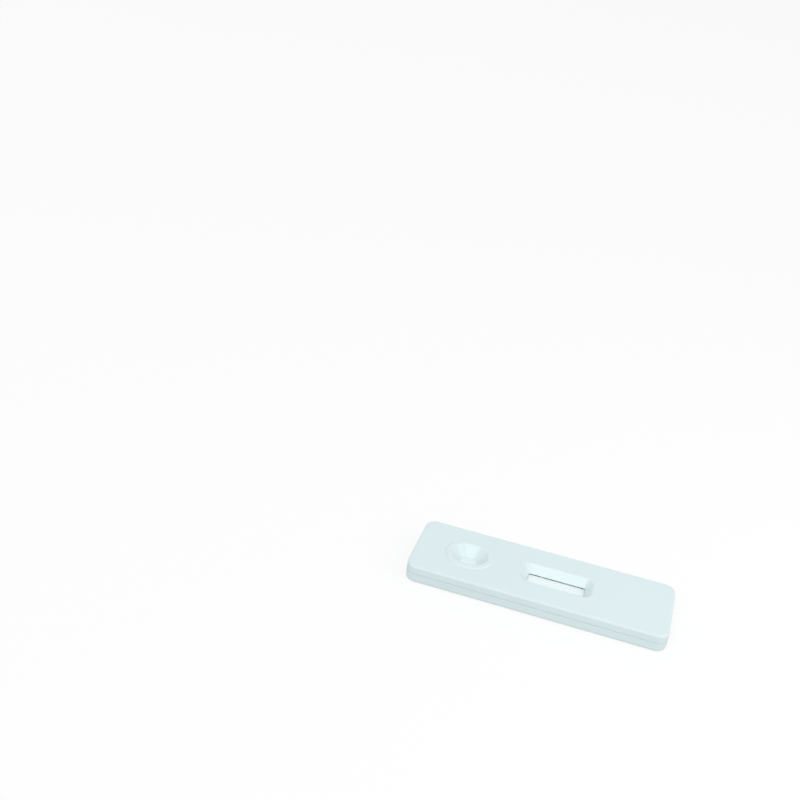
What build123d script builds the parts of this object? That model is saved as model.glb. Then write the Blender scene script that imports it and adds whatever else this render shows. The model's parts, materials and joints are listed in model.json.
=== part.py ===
from build123d import *
from math import atan2, degrees
import os

# Lateral flow test cassette: a two-part moulded housing pressed together over a layered test strip.
# Millimetres. The origin is the middle of the underside, +X points to the reading window, +Z is up.

# Housing shell
CASE_LENGTH = 70.0
CASE_WIDTH = 23.0
CASE_HEIGHT = 5.2         # underside to the flat of the top face
LOWER_HEIGHT = 2.9        # underside to the parting line
CORNER_RADIUS = 2.9
TOP_EDGE_RADIUS = 0.6
BOTTOM_EDGE_RADIUS = 0.8
PARTING_GAP = 0.1         # height of the fine groove that shows as the parting line
PARTING_DEPTH = 0.2
WALL = 1.2
FLOOR = 1.0
ROOF = 1.0
FUNNEL_WALL = 0.9         # wall of the well and of the window below the roof

# Sample well
WELL_INSET = 14.85        # from the end of the case to the middle of the well
WELL_OPENING_LENGTH = 5.0
WELL_OPENING_WIDTH = 3.6
WELL_FLARE = 2.7          # how far the funnel widens on each side, seen from above
WELL_EDGE_RADIUS = 0.4
RIM_HEIGHT = 0.4          # raised ring around the well
RIM_WIDTH = 1.5           # at the foot of its sloped side
RIM_SLOPE = 45.0          # of its outer side, in degrees from upright
RIM_RADIUS = 0.3

# Reading window
WELL_TO_WINDOW = 24.2     # middle of the well to the middle of the window
WINDOW_LENGTH = 15.6      # clear opening at the bottom of the sloped walls
WINDOW_COVER = 0.15       # how far the window overlaps each edge of the strip
WINDOW_FLARE = 1.9        # how far the walls widen on each side, seen from above
WINDOW_CORNER = 0.6
WINDOW_EDGE_RADIUS = 0.6
WINDOW_GAP = 0.3          # air between the window walls and the membrane

# Test strip
STRIP_INSET = 5.0         # from the end of the case to the end of the strip
STRIP_WIDTH = 5.0
BACKING_THICKNESS = 0.3
MEMBRANE_THICKNESS = 0.2
MEMBRANE_REACH = 4.6      # membrane beyond each end of the window opening
SAMPLE_PAD_THICKNESS = 0.4
CONJUGATE_PAD_THICKNESS = 0.4
ABSORBENT_PAD_THICKNESS = 0.7
PAD_OVERLAP = 2.0         # how far each pad laps over the next layer
CONJUGATE_GAP = 1.5       # from the well's wall to the start of the conjugate pad

# Strip cradles and end stops, moulded on the floor
BED_RISE = 1.15           # floor to the underside of the strip
CRADLE_PITCH = 7.0
CRADLE_THICKNESS = 1.2
CRADLE_CHEEK = 0.8
CRADLE_INSET = 2.5        # from the end of the strip to the first cradle
CHEEK_GAP = 0.3           # air between the cheeks and what passes over them
STRIP_CLEARANCE = 0.2
STOP_THICKNESS = 1.0

# Six-sided press pins of the upper half and their round sockets in the lower half
PIN_SIDES = 6
PIN_COLUMNS = 3
PIN_END_INSET = 6.0       # from the end of the case to the first pin
PIN_SIDE_INSET = 3.4
SOCKET_DIAMETER = 3.0
SOCKET_BORE = 1.6
PIN_CLEARANCE = 0.03      # from the pin's corners to its socket's bore
PIN_END_GAP = 0.3         # from the pin's tip to the bottom of its socket
PIN_TIP_BEVEL = 0.2

# Bars under the roof that press the laps of the strip together
PRESS_BAR = 1.0

# Heights of the strip's layers and of what bears on them
roof_level = CASE_HEIGHT - ROOF
strip_bed = FLOOR + BED_RISE
backing_top = strip_bed + BACKING_THICKNESS
membrane_top = backing_top + MEMBRANE_THICKNESS
conjugate_top = backing_top + CONJUGATE_PAD_THICKNESS
well_bottom = backing_top + SAMPLE_PAD_THICKNESS
window_bottom = membrane_top + WINDOW_GAP
cheek_top = min(well_bottom, window_bottom) - CHEEK_GAP
rim_top = CASE_HEIGHT + RIM_HEIGHT
mid_roof = CASE_HEIGHT - ROOF / 2

# Slopes of the two funnels, from upright
well_taper = degrees(atan2(WELL_FLARE, rim_top - well_bottom))
window_taper = degrees(atan2(WINDOW_FLARE, CASE_HEIGHT - window_bottom))

# Places along the case
well_x = WELL_INSET - CASE_LENGTH / 2
window_x = well_x + WELL_TO_WINDOW
strip_start = STRIP_INSET - CASE_LENGTH / 2
strip_end = -strip_start
membrane_start = window_x - WINDOW_LENGTH / 2 - MEMBRANE_REACH
membrane_end = window_x + WINDOW_LENGTH / 2 + MEMBRANE_REACH
conjugate_start = well_x + WELL_OPENING_LENGTH / 2 + FUNNEL_WALL + CONJUGATE_GAP
conjugate_end = membrane_start + PAD_OVERLAP
sample_end = conjugate_start + PAD_OVERLAP
absorbent_start = membrane_end - PAD_OVERLAP

# Places across the case
strip_half = STRIP_WIDTH / 2
cheek_inner = strip_half + STRIP_CLEARANCE
cheek_outer = cheek_inner + CRADLE_CHEEK
window_width = STRIP_WIDTH - 2 * WINDOW_COVER
pin_radius = SOCKET_BORE / 2 - PIN_CLEARANCE


def block(x0, x1, width, bottom, top):
    """Plain block across the middle of the case."""
    return Pos((x0 + x1) / 2, 0, (bottom + top) / 2) * Box(x1 - x0, width, top - bottom)


def plate(inset, bottom, top):
    """The case outline, moved inwards by inset, between two heights."""
    radius = max(CORNER_RADIUS - inset, BOTTOM_EDGE_RADIUS)
    outline = RectangleRounded(CASE_LENGTH - 2 * inset, CASE_WIDTH - 2 * inset, radius)
    return Pos(0, 0, bottom) * extrude(outline, top - bottom)


def pin_places():
    """Grid of the press pins, the same in both halves."""
    pitch_x = (CASE_LENGTH - 2 * PIN_END_INSET) / (PIN_COLUMNS - 1)
    pitch_y = CASE_WIDTH - 2 * PIN_SIDE_INSET
    return GridLocations(pitch_x, pitch_y, PIN_COLUMNS, 2)


def post(diameter, bottom, top):
    """Round post between two heights, on the Z axis."""
    return Pos(0, 0, bottom) * extrude(Circle(diameter / 2), top - bottom)


def well_outline(grow=0.0):
    """The well's lower opening, widened by grow on each side."""
    return SlotOverall(WELL_OPENING_LENGTH + 2 * grow, WELL_OPENING_WIDTH + 2 * grow)


def window_outline(grow=0.0):
    """The window's lower opening, widened by grow on each side."""
    return RectangleRounded(WINDOW_LENGTH + 2 * grow, window_width + 2 * grow, WINDOW_CORNER + grow)


def funnel(outline, x, bottom, top, taper):
    """Plug that widens upwards from an outline by a taper on each side."""
    return extrude(Pos(x, 0, bottom) * outline, top - bottom, taper=-taper)


def mouth_edges(part, level, x):
    """Edges of the opening around a place along the case, in a flat face counted from the top."""
    flat = part.faces().filter_by(Plane.XY).group_by(Axis.Z)[-level][0]
    return flat.inner_wires().sort_by_distance(Vector(x, 0, CASE_HEIGHT))[0].edges()


def cradle(x):
    """U-shaped rib that carries the strip between two cheeks."""
    profile = Polygon(
        (-cheek_outer, FLOOR),
        (cheek_outer, FLOOR),
        (cheek_outer, cheek_top),
        (cheek_inner, cheek_top),
        (cheek_inner, strip_bed),
        (-cheek_inner, strip_bed),
        (-cheek_inner, cheek_top),
        (-cheek_outer, cheek_top),
        align=None,
    )
    return Pos(x, 0, 0) * extrude(Plane.YZ * profile, CRADLE_THICKNESS / 2, both=True)


def bottom_housing():
    """Open tray with strip cradles, end stops and hollow sockets."""
    tray = plate(0, 0, LOWER_HEIGHT)
    tray = fillet(tray.edges().group_by(Axis.Z)[0], BOTTOM_EDGE_RADIUS)
    rebate = LOWER_HEIGHT - PARTING_GAP
    tray -= plate(0, rebate, LOWER_HEIGHT) - plate(PARTING_DEPTH, rebate, LOWER_HEIGHT)
    tray -= plate(WALL, FLOOR, LOWER_HEIGHT)
    first = strip_start + CRADLE_INSET
    span = -2 * first
    gaps = round(span / CRADLE_PITCH)
    for index in range(gaps + 1):
        tray += cradle(first + index * span / gaps)
    stop_inner = strip_end + STRIP_CLEARANCE
    stop_outer = stop_inner + STOP_THICKNESS
    tray += block(stop_inner, stop_outer, STRIP_WIDTH, FLOOR, cheek_top)
    tray += block(-stop_outer, -stop_inner, STRIP_WIDTH, FLOOR, cheek_top)
    for place in pin_places():
        tray += place * post(SOCKET_DIAMETER, FLOOR, LOWER_HEIGHT)
    for place in pin_places():
        tray -= place * post(SOCKET_BORE, FLOOR, LOWER_HEIGHT)
    return tray


def press_pin():
    """Shouldered boss that rests on a socket, with the pin that goes into it."""
    tip = FLOOR + PIN_END_GAP
    pin = Pos(0, 0, tip) * extrude(RegularPolygon(pin_radius, PIN_SIDES), LOWER_HEIGHT - tip)
    pin = chamfer(pin.edges().group_by(Axis.Z)[0], PIN_TIP_BEVEL)
    return pin + post(SOCKET_DIAMETER, LOWER_HEIGHT, roof_level)


def press_bars():
    """Bars from the roof down to the tops of the strip's laps and of the absorbent pad."""
    rear_x = (membrane_end + strip_end) / 2
    reaches_lap = rear_x - PRESS_BAR / 2 < membrane_end + ABSORBENT_PAD_THICKNESS
    rear_bed = membrane_top if reaches_lap else backing_top
    bearings = [
        (conjugate_start + PAD_OVERLAP / 2, conjugate_top + SAMPLE_PAD_THICKNESS),
        (membrane_start + PAD_OVERLAP / 2, membrane_top + CONJUGATE_PAD_THICKNESS),
        (membrane_end - PAD_OVERLAP / 2, membrane_top + ABSORBENT_PAD_THICKNESS),
        (rear_x, rear_bed + ABSORBENT_PAD_THICKNESS),
    ]
    return [block(x - PRESS_BAR / 2, x + PRESS_BAR / 2, STRIP_WIDTH, z, roof_level) for x, z in bearings]


def top_housing():
    """Lid with the rimmed sample well, the sloped window, press bars and press pins."""
    lid = plate(0, LOWER_HEIGHT, CASE_HEIGHT)
    lid = fillet(lid.edges().group_by(Axis.Z)[-1], TOP_EDGE_RADIUS)
    lid -= plate(WALL, LOWER_HEIGHT, roof_level)
    rim_foot = Pos(well_x, 0, CASE_HEIGHT) * well_outline(WELL_FLARE + RIM_WIDTH)
    rim = extrude(rim_foot, RIM_HEIGHT, taper=RIM_SLOPE)
    lid += fillet(rim.edges().group_by(Axis.Z)[-1], RIM_RADIUS)
    lid += funnel(well_outline(FUNNEL_WALL), well_x, well_bottom, mid_roof, well_taper)
    lid += funnel(window_outline(FUNNEL_WALL), window_x, window_bottom, mid_roof, window_taper)
    for bar in press_bars():
        lid += bar
    for place in pin_places():
        lid += place * press_pin()
    lid -= funnel(well_outline(), well_x, well_bottom, rim_top, well_taper)
    lid -= funnel(window_outline(), window_x, window_bottom, CASE_HEIGHT, window_taper)
    lid = fillet(mouth_edges(lid, 1, well_x), WELL_EDGE_RADIUS)
    return fillet(mouth_edges(lid, 2, window_x), WINDOW_EDGE_RADIUS)


def lapped_pad(flat_end, step, lap_end, thickness, lap_rise):
    """Pad that lies on the backing card and steps up over the layer beside it."""
    inward = thickness if lap_end > flat_end else -thickness
    profile = Polygon(
        (flat_end, backing_top),
        (step, backing_top),
        (step, backing_top + lap_rise),
        (lap_end, backing_top + lap_rise),
        (lap_end, backing_top + lap_rise + thickness),
        (step - inward, backing_top + lap_rise + thickness),
        (step - inward, backing_top + thickness),
        (flat_end, backing_top + thickness),
        align=None,
    )
    return extrude(Plane.XZ * profile, strip_half, both=True)


pieces = {
    "bottom_housing": bottom_housing(),
    "top_housing": top_housing(),
    "backing_card": block(strip_start, strip_end, STRIP_WIDTH, strip_bed, backing_top),
    "membrane": block(membrane_start, membrane_end, STRIP_WIDTH, backing_top, membrane_top),
    "sample_pad": lapped_pad(
        strip_start, conjugate_start, sample_end, SAMPLE_PAD_THICKNESS, CONJUGATE_PAD_THICKNESS
    ),
    "conjugate_pad": lapped_pad(
        conjugate_start, membrane_start, conjugate_end, CONJUGATE_PAD_THICKNESS, MEMBRANE_THICKNESS
    ),
    "absorbent_pad": lapped_pad(
        strip_end, membrane_end, absorbent_start, ABSORBENT_PAD_THICKNESS, MEMBRANE_THICKNESS
    ),
}

os.makedirs("parts", exist_ok=True)
for name, piece in pieces.items():
    export_step(piece, f"parts/{name}.step")
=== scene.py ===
import json
import math

import bpy
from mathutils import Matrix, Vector


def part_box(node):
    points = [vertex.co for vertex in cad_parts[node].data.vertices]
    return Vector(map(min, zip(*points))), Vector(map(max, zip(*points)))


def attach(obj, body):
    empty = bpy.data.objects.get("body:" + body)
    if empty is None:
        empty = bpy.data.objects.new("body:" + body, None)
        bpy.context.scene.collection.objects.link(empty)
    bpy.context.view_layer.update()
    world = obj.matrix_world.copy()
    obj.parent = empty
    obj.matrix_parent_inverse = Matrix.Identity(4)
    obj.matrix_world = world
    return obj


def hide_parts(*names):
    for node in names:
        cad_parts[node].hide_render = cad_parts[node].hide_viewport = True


# Lateral flow test cassette on white studio paper. Metres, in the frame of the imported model.
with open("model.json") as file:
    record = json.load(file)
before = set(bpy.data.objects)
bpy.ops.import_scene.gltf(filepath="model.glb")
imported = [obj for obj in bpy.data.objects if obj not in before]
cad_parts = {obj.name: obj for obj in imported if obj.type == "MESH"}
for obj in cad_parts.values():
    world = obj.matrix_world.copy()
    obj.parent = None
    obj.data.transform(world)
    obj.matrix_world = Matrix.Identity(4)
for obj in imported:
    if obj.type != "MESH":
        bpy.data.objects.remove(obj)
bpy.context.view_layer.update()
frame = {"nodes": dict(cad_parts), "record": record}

MM = 0.001
WHITE = "#FFFFFF"

# Camera at the photograph's viewing angle
CAMERA_PLACE = Vector((13.999, -238.148, 181.124)) * MM
CAMERA_TURN = (61.091, -6.441, 17.460)    # degrees about X, Y and Z
LENS = 48.83                              # millimetres of focal length
SENSOR = 36.0                             # millimetres across
NEAREST_SEEN = 1.0 * MM

# Studio light: a white dome all round, a wide soft lamp in front and a smaller one on the right
DOME_LIGHT = 0.768
FRONT_LAMP_PLACE = Vector((-117.0, -1333.0, 1486.0)) * MM
FRONT_LAMP_WIDTH = 1800.0 * MM
FRONT_LAMP_HEIGHT = 900.0 * MM
FRONT_LAMP_WATTS = 10.2
RIGHT_LAMP_PLACE = Vector((277.0, -74.0, 201.0)) * MM
RIGHT_LAMP_SIZE = 250.0 * MM
RIGHT_LAMP_WATTS = 0.21
PAPER_COLOUR = "#F9FAFA"
PAPER_BOUNCE = "#D7D8D8"                  # what the paper throws back on to the cassette
PAPER_SIZE = 8000.0 * MM
PAPER_DROP = 0.02 * MM                    # keeps the paper clear of the underside
PAPER_GLOW = 0.75                         # share of plain white that the camera sees in the paper

# Funnels of the upper half: their lower openings, and how far they widen upwards on each side
WELL_LENGTH = 5.0 * MM
WELL_WIDTH = 3.6 * MM
WELL_FLARE = 2.7 * MM
WINDOW_LENGTH = 15.6 * MM
WINDOW_WIDTH = 4.7 * MM
WINDOW_FLARE = 1.9 * MM
WELL_STRAIGHT = (WELL_LENGTH - WELL_WIDTH) / 2    # from the oval's middle to the centre of a round end

# Test strip
PAD_CROWN = 0.15 * MM                     # how far the sample pad swells up into the well
CLIMB = 1.2 * MM                          # length of the slope where a pad climbs on to its neighbour
FIBRE_CELL = 0.2 * MM                     # mesh spacing of the fibre pads
MEMBRANE_CELL = 0.25 * MM
EDGE_SEGMENTS = 2                         # facets round a cut edge
SMOOTH_BELOW = math.radians(50)           # edges that turn by less are shaded smooth

# Middles of the well and the window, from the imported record
openings = {}
for opening in frame["record"]["physics"]["openings"]:
    openings[opening["name"]] = [Vector(corner) for corner in opening["box_m"]]
well_low, well_high = openings["sample_well"]
window_low, window_high = openings["reading_window"]
well_middle = (well_low + well_high) / 2
window_middle = (window_low + window_high) / 2


def linear(hex_colour):
    """An sRGB hex colour as linear red, green, blue and alpha."""
    channels = [int(hex_colour[i:i + 2], 16) / 255 for i in (1, 3, 5)]
    return [c / 12.92 if c <= 0.04045 else ((c + 0.055) / 1.055) ** 2.4 for c in channels] + [1.0]


def add(tree, kind, inputs, **settings):
    """Adds a node with its settings, and gives each input a value or a link."""
    made = tree.nodes.new(kind)
    for field, value in settings.items():
        setattr(made, field, value)
    for socket, value in inputs.items():
        if isinstance(value, bpy.types.NodeSocket):
            tree.links.new(value, made.inputs[socket])
        else:
            made.inputs[socket].default_value = value
    return made


def start_material(name):
    """A new material: its node tree, its shader and the object's own coordinates."""
    material = bpy.data.materials.new(name)
    material.use_nodes = True
    tree = material.node_tree
    place = add(tree, "ShaderNodeTexCoord", {}).outputs["Object"]
    return material, tree, tree.nodes["Principled BSDF"], place


def within(tree, place, middle, half_length, half_width, reach):
    """1 within a reach of a level rectangle, seen from above, and 0 elsewhere."""
    level = (1.0, 1.0, 0.0)
    zero = (0.0, 0.0, 0.0)
    half = (half_length, half_width, 0.0)
    offset = add(tree, "ShaderNodeVectorMath", {0: place, 1: middle}, operation="SUBTRACT")
    flat = add(tree, "ShaderNodeVectorMath", {0: offset.outputs[0], 1: level}, operation="MULTIPLY")
    size = add(tree, "ShaderNodeVectorMath", {0: flat.outputs[0]}, operation="ABSOLUTE")
    past = add(tree, "ShaderNodeVectorMath", {0: size.outputs[0], 1: half}, operation="SUBTRACT")
    outside = add(tree, "ShaderNodeVectorMath", {0: past.outputs[0], 1: zero}, operation="MAXIMUM")
    distance = add(tree, "ShaderNodeVectorMath", {0: outside.outputs[0]}, operation="LENGTH")
    near = add(tree, "ShaderNodeMath", {0: distance.outputs["Value"], 1: reach}, operation="LESS_THAN")
    return near.outputs[0]


def moulded_polystyrene():
    """White polystyrene: satin and finely grained off the spark-eroded mould, with a faint cool tint.

    The funnels of the well and the window look brighter in the photograph, so they are glossier here.
    """
    material, tree, shader, place = start_material("moulded_polystyrene")
    flow_size = 14.0 * MM                 # drift of the tint where the melt flowed
    grain_size = 0.35 * MM                # real grain is about 0.05 mm, too fine to show
    grain_depth = 0.02 * MM
    grain_strength = 0.25
    smoothest_grain = 0.55                # roughness
    roughest_grain = 0.65
    funnel_roughness = 0.25
    polystyrene_ior = 1.59
    flow = add(tree, "ShaderNodeTexNoise", {"Vector": place, "Scale": 1 / flow_size, "Detail": 3.0})
    tint = add(
        tree,
        "ShaderNodeMix",
        {"Factor": flow.outputs["Fac"], "A": linear("#D8E8EA"), "B": linear("#DCECEE")},
        data_type="RGBA",
    )
    grain = add(tree, "ShaderNodeTexNoise", {"Vector": place, "Scale": 1 / grain_size, "Detail": 2.0})
    satin = add(
        tree,
        "ShaderNodeMapRange",
        {"Value": grain.outputs["Fac"], "To Min": smoothest_grain, "To Max": roughest_grain},
    )
    well = within(tree, place, well_middle, WELL_STRAIGHT, 0.0, WELL_WIDTH / 2 + WELL_FLARE)
    window = within(tree, place, window_middle, WINDOW_LENGTH / 2, WINDOW_WIDTH / 2, WINDOW_FLARE)
    polished = add(tree, "ShaderNodeMath", {0: well, 1: window}, operation="MAXIMUM")
    sheen = add(
        tree,
        "ShaderNodeMix",
        {"Factor": polished.outputs[0], "A": satin.outputs["Result"], "B": funnel_roughness},
    )
    depth = add(
        tree,
        "ShaderNodeMapRange",
        {"Value": polished.outputs[0], "To Min": grain_strength, "To Max": 0.0},
    )
    relief = add(
        tree,
        "ShaderNodeBump",
        {"Height": grain.outputs["Fac"], "Strength": depth.outputs["Result"], "Distance": grain_depth},
    )
    tree.links.new(tint.outputs["Result"], shader.inputs["Base Color"])
    tree.links.new(sheen.outputs["Result"], shader.inputs["Roughness"])
    tree.links.new(relief.outputs["Normal"], shader.inputs["Normal"])
    shader.inputs["IOR"].default_value = polystyrene_ior
    return material


def fibre_material(name, pale, gap_shade, fibre_width, fibre_length, relief_depth):
    """Matt felted fibre: short pale threads lying every way, with painted shade darkening the gaps
    between them.
    """
    material, tree, shader, place = start_material(name)
    thread_turns = (0.35, 1.4, 2.45)      # radians: three lays of thread, about 60 degrees apart
    gap_level = 0.45                      # noise at which a gap turns into the side of a thread
    crest_level = 0.75                    # crest_level = 0.75 # noise at which a thread is at its palest, clear of the painted gap shade
    relief_strength = 0.6
    matt = 0.95
    faint_reflection = 0.2
    heights = []
    for turn in thread_turns:
        lie = add(
            tree,
            "ShaderNodeMapping",
            {
                "Vector": place,
                "Rotation": (0.0, 0.0, turn),
                "Scale": (1 / fibre_length, 1 / fibre_width, 1 / fibre_width),
            },
        )
        threads = add(
            tree,
            "ShaderNodeTexNoise",
            {"Vector": lie.outputs["Vector"], "Scale": 1.0, "Detail": 2.0},
        )
        heights.append(threads.outputs["Fac"])
    first_two = add(tree, "ShaderNodeMath", {0: heights[0], 1: heights[1]}, operation="MAXIMUM")
    weave = add(tree, "ShaderNodeMath", {0: first_two.outputs[0], 1: heights[2]}, operation="MAXIMUM")
    spread = add(
        tree,
        "ShaderNodeMapRange",
        {"Value": weave.outputs[0], "From Min": gap_level, "From Max": crest_level},
    )
    # painted shade: the low gaps between threads get the darker colour, the raised crests the pale one
    tint = add(
        tree,
        "ShaderNodeMix",
        {"Factor": spread.outputs["Result"], "A": linear(gap_shade), "B": linear(pale)},
        data_type="RGBA",
    )
    relief = add(
        tree,
        "ShaderNodeBump",
        {"Height": spread.outputs["Result"], "Strength": relief_strength, "Distance": relief_depth},
    )
    tree.links.new(tint.outputs["Result"], shader.inputs["Base Color"])
    tree.links.new(relief.outputs["Normal"], shader.inputs["Normal"])
    shader.inputs["Roughness"].default_value = matt
    shader.inputs["Specular IOR Level"].default_value = faint_reflection
    return material


def nitrocellulose():
    """Cast nitrocellulose membrane: bright, dead matt and almost smooth, with a faint cloud of pores."""
    material, tree, shader, place = start_material("nitrocellulose_membrane")
    pore_size = 0.25 * MM                 # real pores are about 0.01 mm, too fine to show
    pore_depth = 0.01 * MM
    pore_strength = 0.2
    matt = 0.9
    faint_reflection = 0.3
    pores = add(tree, "ShaderNodeTexNoise", {"Vector": place, "Scale": 1 / pore_size, "Detail": 3.0})
    tint = add(
        tree,
        "ShaderNodeMix",
        {"Factor": pores.outputs["Fac"], "A": linear("#E8F4F6"), "B": linear("#F2FBFD")},
        data_type="RGBA",
    )
    relief = add(
        tree,
        "ShaderNodeBump",
        {"Height": pores.outputs["Fac"], "Strength": pore_strength, "Distance": pore_depth},
    )
    tree.links.new(tint.outputs["Result"], shader.inputs["Base Color"])
    tree.links.new(relief.outputs["Normal"], shader.inputs["Normal"])
    shader.inputs["Roughness"].default_value = matt
    shader.inputs["Specular IOR Level"].default_value = faint_reflection
    return material


def calendered_card():
    """White plastic backing card, rolled smooth: a low even gloss with faint rolling streaks along it."""
    material, tree, shader, place = start_material("calendered_backing_card")
    streak_width = 0.4 * MM
    streak_length = 12.0 * MM
    smoothest_streak = 0.28               # roughness
    roughest_streak = 0.4
    lie = add(
        tree,
        "ShaderNodeMapping",
        {"Vector": place, "Scale": (1 / streak_length, 1 / streak_width, 1 / streak_width)},
    )
    streaks = add(
        tree,
        "ShaderNodeTexNoise",
        {"Vector": lie.outputs["Vector"], "Scale": 1.0, "Detail": 2.0},
    )
    tint = add(
        tree,
        "ShaderNodeMix",
        {"Factor": streaks.outputs["Fac"], "A": linear("#E4E8E9"), "B": linear("#ECEFF0")},
        data_type="RGBA",
    )
    sheen = add(
        tree,
        "ShaderNodeMapRange",
        {"Value": streaks.outputs["Fac"], "To Min": smoothest_streak, "To Max": roughest_streak},
    )
    tree.links.new(tint.outputs["Result"], shader.inputs["Base Color"])
    tree.links.new(sheen.outputs["Result"], shader.inputs["Roughness"])
    return material


def slab(name, low, high, cell):
    """A closed slab between two corners, its broad faces cut into square cells."""
    size = high - low
    middle = (low + high) / 2
    bpy.ops.object.select_all(action="DESELECT")
    bpy.ops.mesh.primitive_grid_add(
        x_subdivisions=round(size.x / cell),
        y_subdivisions=round(size.y / cell),
        size=1.0,
    )
    piece = bpy.context.object
    piece.name = name
    bpy.ops.object.mode_set(mode="EDIT")
    bpy.ops.transform.resize(value=(size.x, size.y, 1.0))
    bpy.ops.transform.translate(value=(middle.x, middle.y, low.z))
    bpy.ops.mesh.extrude_region_move(TRANSFORM_OT_translate={"value": (0.0, 0.0, size.z)})
    bpy.ops.mesh.select_all(action="SELECT")
    bpy.ops.mesh.normals_make_consistent(inside=False)
    bpy.ops.object.mode_set(mode="OBJECT")
    return piece


def apply_modifier(piece, kind, **settings):
    """Adds a modifier with its settings and applies it."""
    bpy.context.view_layer.objects.active = piece
    modifier = piece.modifiers.new(kind.lower(), kind)
    for field, value in settings.items():
        setattr(modifier, field, value)
    bpy.ops.object.modifier_apply(modifier=modifier.name)


def roughen(piece, edge_radius, lump_size, lump_depth):
    """Rounds the cut edges and presses lumps into the surface, never out of it."""
    apply_modifier(piece, "BEVEL", width=edge_radius, segments=EDGE_SEGMENTS, limit_method="ANGLE")
    lumps = bpy.data.textures.new(piece.name + "_lumps", "CLOUDS")
    lumps.noise_scale = lump_size
    apply_modifier(piece, "DISPLACE", texture=lumps, strength=lump_depth, mid_level=1.0)
    bpy.ops.object.select_all(action="DESELECT")
    piece.select_set(True)
    bpy.ops.object.shade_smooth_by_angle(angle=SMOOTH_BELOW)


def soft_step(share):
    """Goes smoothly from 0 to 1 as share does."""
    share = min(max(share, 0.0), 1.0)
    return share * share * (3 - 2 * share)


def lapped_pad(name, node, neighbour_rise, step, side):
    """A fibre pad on the backing card that climbs on to its neighbour, which begins at step."""
    low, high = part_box(node)
    flat_top = Vector((high.x, high.y, high.z - neighbour_rise))
    pad = slab(name, low, flat_top, FIBRE_CELL)
    climb_start = step - side * CLIMB
    for point in pad.data.vertices:
        point.co.z += neighbour_rise * soft_step(side * (point.co.x - climb_start) / CLIMB)
    return pad


def swell_into_well(pad, top):
    """Crowns the pad's top where the well's opening leaves it free."""
    for point in pad.data.vertices:
        along = max(abs(point.co.x - well_middle.x) - WELL_STRAIGHT, 0.0)
        reach = math.hypot(along, point.co.y - well_middle.y) / (WELL_WIDTH / 2)
        if abs(point.co.z - top) < PAD_CROWN / 2:
            point.co.z += PAD_CROWN * soft_step(1.0 - reach)


def dress(piece, node, material):
    """Puts a finished piece in the place of its node, with its material."""
    piece.data.materials.append(material)
    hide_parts(node)
    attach(piece, "root")


def seen_rays(tree):
    """1 for rays from the camera, and for what it sees in a gloss or through a clear piece."""
    path = add(tree, "ShaderNodeLightPath", {})
    gloss = add(
        tree,
        "ShaderNodeMath",
        {0: path.outputs["Is Camera Ray"], 1: path.outputs["Is Glossy Ray"]},
        operation="MAXIMUM",
    )
    clear = add(
        tree,
        "ShaderNodeMath",
        {0: gloss.outputs[0], 1: path.outputs["Is Transmission Ray"]},
        operation="MAXIMUM",
    )
    return clear.outputs[0]


def lay_paper():
    """White seamless paper under the cassette, which keeps the shadow and looks white."""
    bpy.ops.object.select_all(action="DESELECT")
    bpy.ops.mesh.primitive_plane_add(size=PAPER_SIZE, location=(0.0, 0.0, -PAPER_DROP))
    paper = bpy.context.object
    paper.name = "studio_paper"
    material, tree, shader, _ = start_material("seamless_paper")
    seen = seen_rays(tree)
    tint = add(
        tree,
        "ShaderNodeMix",
        {"Factor": seen, "A": linear(PAPER_BOUNCE), "B": linear(PAPER_COLOUR)},
        data_type="RGBA",
    )
    tree.links.new(tint.outputs["Result"], shader.inputs["Base Color"])
    shader.inputs["Roughness"].default_value = 1.0
    shader.inputs["Specular IOR Level"].default_value = 0.0
    glow = add(tree, "ShaderNodeEmission", {"Color": linear(WHITE), "Strength": 1.0})
    share = add(tree, "ShaderNodeMath", {0: seen, 1: PAPER_GLOW}, operation="MULTIPLY")
    mixed = add(
        tree,
        "ShaderNodeMixShader",
        {0: share.outputs[0], 1: shader.outputs["BSDF"], 2: glow.outputs["Emission"]},
    )
    tree.links.new(mixed.outputs["Shader"], tree.nodes["Material Output"].inputs["Surface"])
    paper.data.materials.append(material)


def light_dome():
    """Even light from all round, plain white where it is seen."""
    world = bpy.data.worlds.new("studio_dome")
    world.use_nodes = True
    bpy.context.scene.world = world
    tree = world.node_tree
    lit = tree.nodes["Background"]
    lit.inputs["Color"].default_value = linear(WHITE)
    lit.inputs["Strength"].default_value = DOME_LIGHT
    white = add(tree, "ShaderNodeBackground", {"Color": linear(WHITE), "Strength": 1.0})
    mixed = add(
        tree,
        "ShaderNodeMixShader",
        {0: seen_rays(tree), 1: lit.outputs["Background"], 2: white.outputs["Background"]},
    )
    tree.links.new(mixed.outputs["Shader"], tree.nodes["World Output"].inputs["Surface"])


def hang_softbox(name, place, width, height, watts):
    """A soft lamp, turned to the middle of the cassette."""
    lamp = bpy.data.lights.new(name, "AREA")
    lamp.shape = "RECTANGLE"
    lamp.size = width
    lamp.size_y = height
    lamp.energy = watts
    softbox = bpy.data.objects.new(name, lamp)
    softbox.location = place
    softbox.rotation_euler = (-place).to_track_quat("-Z", "Y").to_euler()
    bpy.context.scene.collection.objects.link(softbox)


def place_camera():
    """The photograph's view."""
    view = bpy.data.cameras.new("photo_view")
    view.lens = LENS
    view.sensor_width = SENSOR
    view.clip_start = NEAREST_SEEN
    camera = bpy.data.objects.new("photo_view", view)
    camera.location = CAMERA_PLACE
    camera.rotation_euler = [math.radians(angle) for angle in CAMERA_TURN]
    bpy.context.scene.collection.objects.link(camera)
    bpy.context.scene.camera = camera


# Housing and backing card keep their solids
polystyrene = moulded_polystyrene()
for node, material in (
    ("top_housing", polystyrene),
    ("bottom_housing", polystyrene),
    ("backing_card", calendered_card()),
):
    for material_slot in frame["nodes"][node].material_slots:
        material_slot.material = material

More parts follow.
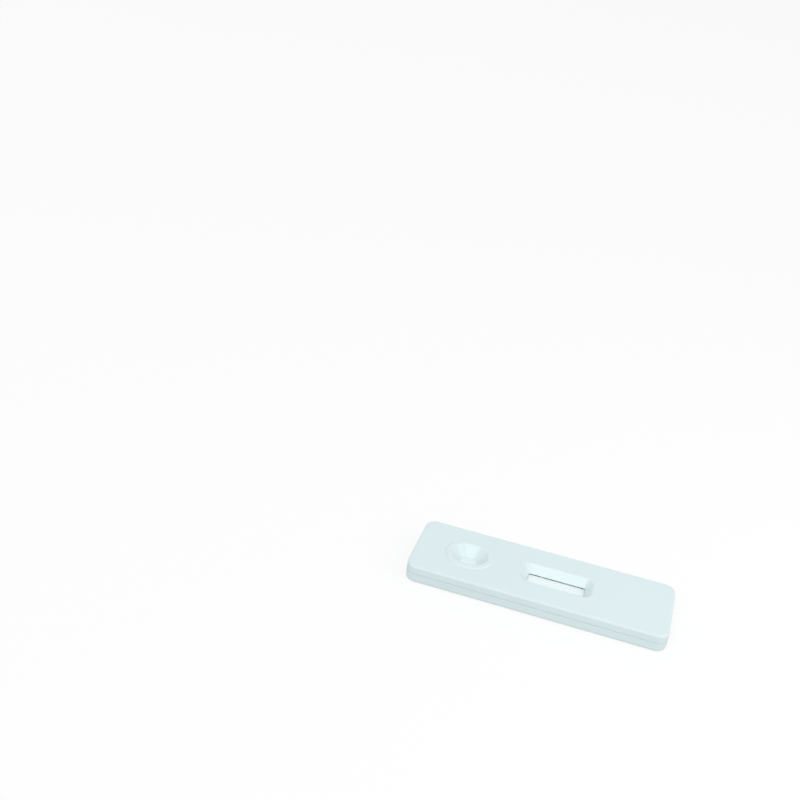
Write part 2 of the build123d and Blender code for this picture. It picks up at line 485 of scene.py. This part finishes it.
# Layer sizes along and up the strip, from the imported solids
membrane_low, membrane_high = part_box("membrane")
conjugate_low, conjugate_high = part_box("conjugate_pad")
_, sample_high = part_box("sample_pad")
membrane_rise = membrane_high.z - membrane_low.z
conjugate_rise = conjugate_high.z - conjugate_low.z - membrane_rise

# Membrane and the three fibre pads
membrane = slab("membrane_sheet", membrane_low, membrane_high, MEMBRANE_CELL)
roughen(membrane, edge_radius=0.03 * MM, lump_size=0.8 * MM, lump_depth=0.008 * MM)
dress(membrane, "membrane", nitrocellulose())

conjugate_pad = lapped_pad("conjugate_fleece", "conjugate_pad", membrane_rise, membrane_low.x, 1)
roughen(conjugate_pad, edge_radius=0.08 * MM, lump_size=0.35 * MM, lump_depth=0.05 * MM)
glass_fibre = fibre_material(
    "glass_fibre_fleece",
    pale="#F2ECEA",
    gap_shade="#DCCFCD",
    fibre_width=0.08 * MM,
    fibre_length=1.6 * MM,
    relief_depth=0.03 * MM,
)
dress(conjugate_pad, "conjugate_pad", glass_fibre)

sample_pad = lapped_pad("sample_felt", "sample_pad", conjugate_rise, conjugate_low.x, 1)
swell_into_well(sample_pad, sample_high.z - conjugate_rise)
roughen(sample_pad, edge_radius=0.10 * MM, lump_size=0.45 * MM, lump_depth=0.05 * MM)
cellulose = fibre_material(
    "cellulose_felt",
    pale="#F0FAFB",
    gap_shade="#E6F2F4",
    fibre_width=0.12 * MM,
    fibre_length=1.2 * MM,
    relief_depth=0.04 * MM,
)
dress(sample_pad, "sample_pad", cellulose)

absorbent_pad = lapped_pad("absorbent_blotter", "absorbent_pad", membrane_rise, membrane_high.x, -1)
roughen(absorbent_pad, edge_radius=0.12 * MM, lump_size=0.6 * MM, lump_depth=0.06 * MM)
blotting_paper = fibre_material(
    "blotting_paper",
    pale="#F3F4F2",
    gap_shade="#E0E2DF",
    fibre_width=0.15 * MM,
    fibre_length=0.9 * MM,
    relief_depth=0.05 * MM,
)
dress(absorbent_pad, "absorbent_pad", blotting_paper)

# Studio
lay_paper()
light_dome()
hang_softbox("front_softbox", FRONT_LAMP_PLACE, FRONT_LAMP_WIDTH, FRONT_LAMP_HEIGHT, FRONT_LAMP_WATTS)
hang_softbox("right_softbox", RIGHT_LAMP_PLACE, RIGHT_LAMP_SIZE, RIGHT_LAMP_SIZE, RIGHT_LAMP_WATTS)
place_camera()
bpy.context.scene.view_settings.view_transform = "Standard"
